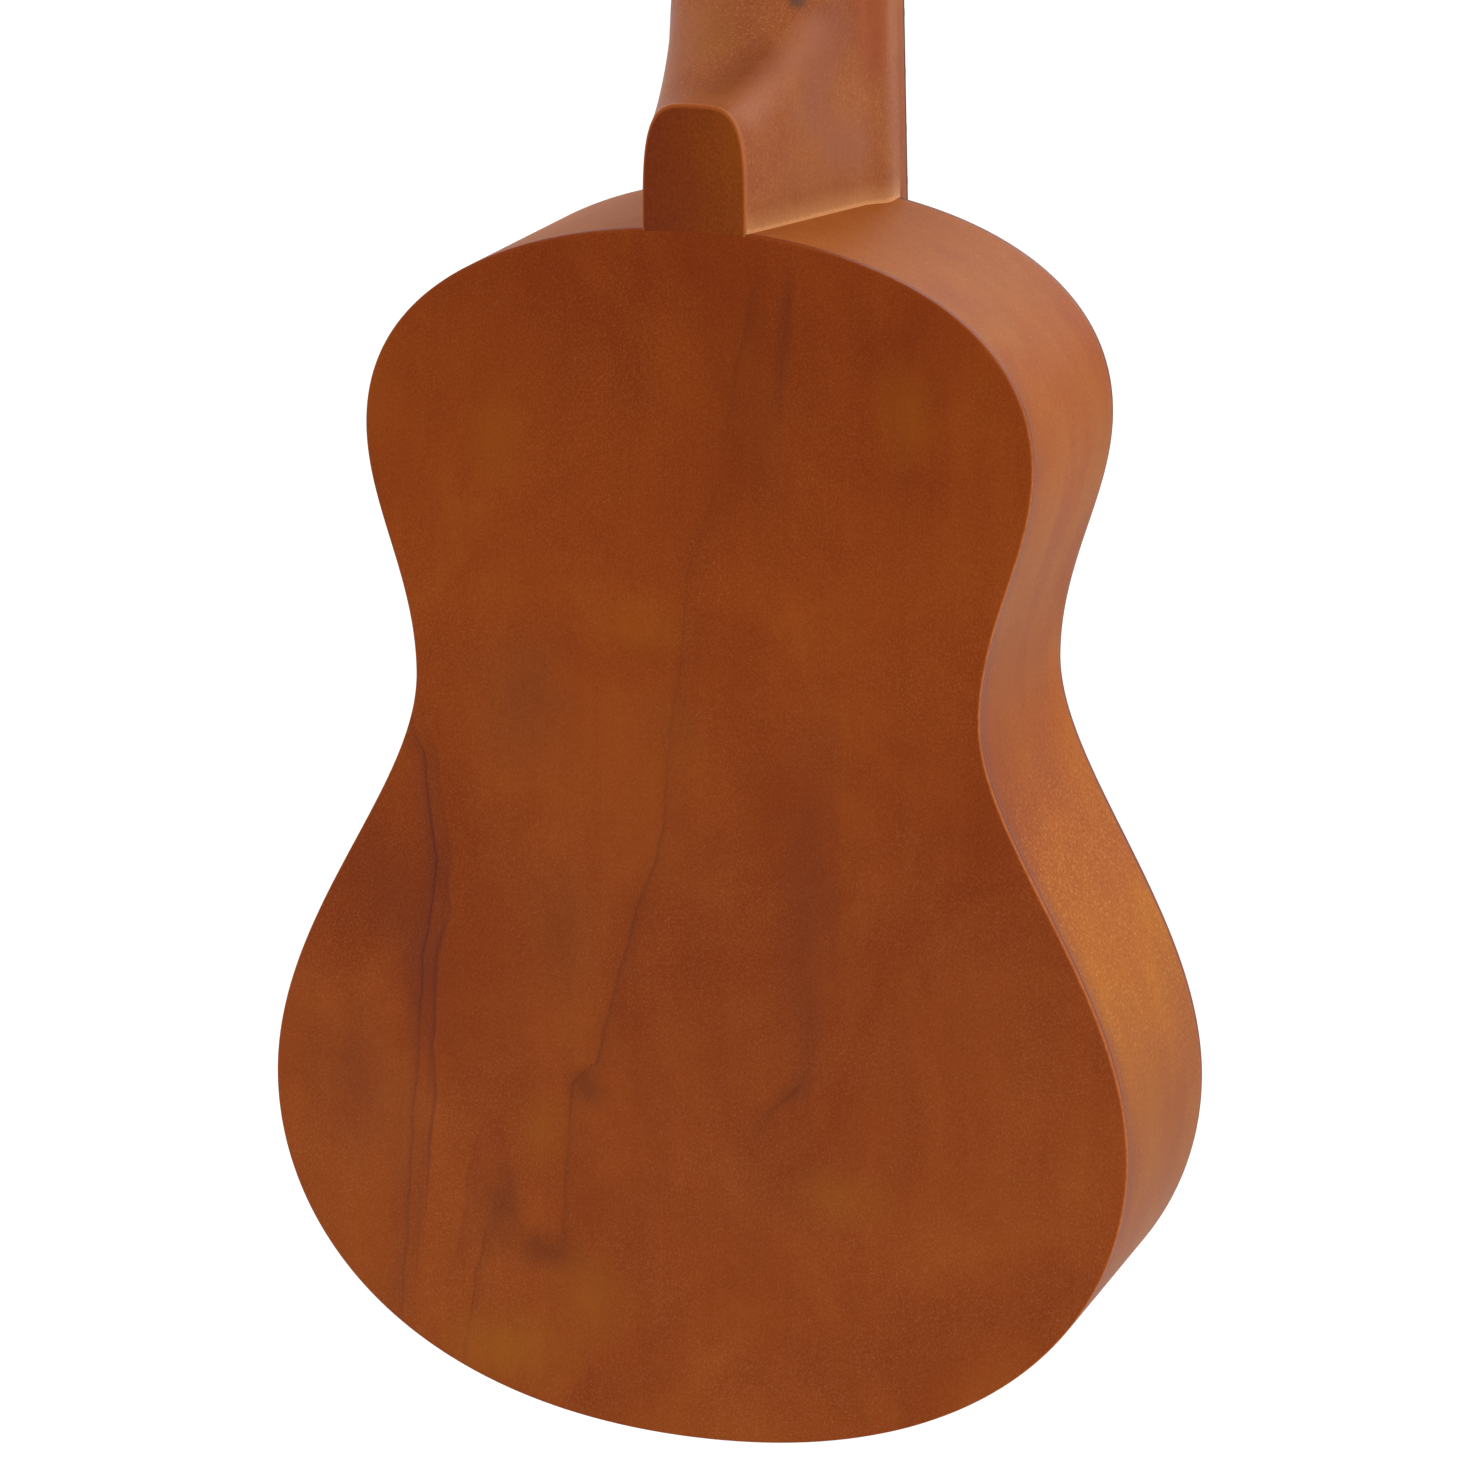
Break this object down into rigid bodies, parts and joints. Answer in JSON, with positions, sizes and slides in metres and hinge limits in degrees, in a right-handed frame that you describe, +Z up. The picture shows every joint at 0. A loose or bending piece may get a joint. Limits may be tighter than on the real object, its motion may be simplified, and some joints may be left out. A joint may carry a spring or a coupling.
{
  "type": "soprano ukulele",
  "caption": "Small wooden plucked instrument: waisted hollow body, round soundhole, carved neck with heel, slim fretboard, glued bridge and open geared tuners.",
  "frame": {"origin": "centre line of the neck at the nut's inner edge, where the scale length starts, in the plane where the fretboard is glued to the neck, which is also the plane of the soundboard's outer face; claimed as the mount neck_hanger", "axes": "+Z up along the neck towards the headstock, +Y from the soundboard towards the back, +X towards the E and A strings' side"},
  "size_m": [0.1736, 0.0681, 0.5252],
  "materials": {
    "stained_wood": "satin open-pore reddish-brown stain",
    "pale_wood": "bare, unfinished",
    "dark_wood": "oiled satin",
    "rosette_wood": "satin",
    "white_plastic": "polished",
    "nickel": "nickel plated",
    "fret_metal": "polished",
    "nylon": "clear satin"
  },
  "bodies": {
    "ukulele": {"back_plate": "stained_wood", "soundboard": "stained_wood", "side_left": "stained_wood", "side_right": "stained_wood", "front_lining_left": "pale_wood", "front_lining_right": "pale_wood", "back_lining_left": "pale_wood", "back_lining_right": "pale_wood", "neck_block": "pale_wood", "tail_block": "pale_wood", "soundboard_brace_upper": "pale_wood", "soundboard_brace_lower": "pale_wood", "back_brace_upper": "pale_wood", "back_brace_lower": "pale_wood", "bridge_plate": "pale_wood", "rosette": "rosette_wood", "bridge": "dark_wood", "saddle": "white_plastic", "neck": "stained_wood", "fretboard": "dark_wood", "nut": "white_plastic", "fret_01": "fret_metal", "fret_02": "fret_metal", "fret_03": "fret_metal", "fret_04": "fret_metal", "fret_05": "fret_metal", "fret_06": "fret_metal", "fret_07": "fret_metal", "fret_08": "fret_metal", "fret_09": "fret_metal", "fret_10": "fret_metal", "fret_11": "fret_metal", "fret_12": "fret_metal", "position_dot_5": "white_plastic", "position_dot_7": "white_plastic", "position_dot_10": "white_plastic", "string_g": "nylon", "string_c": "nylon", "string_e": "nylon", "string_a": "nylon", "tuner_g_plate": "nickel", "tuner_g_bushing": "nickel", "tuner_c_plate": "nickel", "tuner_c_bushing": "nickel", "tuner_e_plate": "nickel", "tuner_e_bushing": "nickel", "tuner_a_plate": "nickel", "tuner_a_bushing": "nickel"},
    "button_g": {"tuner_g_worm_shaft": "nickel", "tuner_g_button": "white_plastic"},
    "post_g": {"tuner_g_post": "nickel"},
    "button_c": {"tuner_c_worm_shaft": "nickel", "tuner_c_button": "white_plastic"},
    "post_c": {"tuner_c_post": "nickel"},
    "button_e": {"tuner_e_worm_shaft": "nickel", "tuner_e_button": "white_plastic"},
    "post_e": {"tuner_e_post": "nickel"},
    "button_a": {"tuner_a_worm_shaft": "nickel", "tuner_a_button": "white_plastic"},
    "post_a": {"tuner_a_post": "nickel"}
  },
  "joints": [
    {"name": "button_g_turn", "type": "hinge", "parent": "ukulele", "child": "button_g", "pos_m": [-0.013, 0.02433, 0.04118], "axis": [-1, 0, 0], "continuous": true},
    {"name": "post_g_turn", "type": "hinge", "parent": "ukulele", "child": "post_g", "pos_m": [-0.013, 0.01881, 0.03586], "axis": [0, 0.9781, -0.2079], "continuous": true},
    {"name": "button_c_turn", "type": "hinge", "parent": "ukulele", "child": "button_c", "pos_m": [-0.013, 0.03182, 0.07639], "axis": [-1, 0, 0], "continuous": true},
    {"name": "post_c_turn", "type": "hinge", "parent": "ukulele", "child": "post_c", "pos_m": [-0.013, 0.02629, 0.07107], "axis": [0, 0.9781, -0.2079], "continuous": true},
    {"name": "button_e_turn", "type": "hinge", "parent": "ukulele", "child": "button_e", "pos_m": [0.013, 0.03182, 0.07639], "axis": [1, 0, 0], "continuous": true},
    {"name": "post_e_turn", "type": "hinge", "parent": "ukulele", "child": "post_e", "pos_m": [0.013, 0.02629, 0.07107], "axis": [0, 0.9781, -0.2079], "continuous": true},
    {"name": "button_a_turn", "type": "hinge", "parent": "ukulele", "child": "button_a", "pos_m": [0.013, 0.02433, 0.04118], "axis": [1, 0, 0], "continuous": true},
    {"name": "post_a_turn", "type": "hinge", "parent": "ukulele", "child": "post_a", "pos_m": [0.013, 0.01881, 0.03586], "axis": [0, 0.9781, -0.2079], "continuous": true}
  ],
  "couplings": [
    {"joint": "post_g_turn", "follows": "button_g_turn", "ratio": 0.071429},
    {"joint": "post_c_turn", "follows": "button_c_turn", "ratio": 0.071429},
    {"joint": "post_e_turn", "follows": "button_e_turn", "ratio": -0.071429},
    {"joint": "post_a_turn", "follows": "button_a_turn", "ratio": -0.071429}
  ]
}
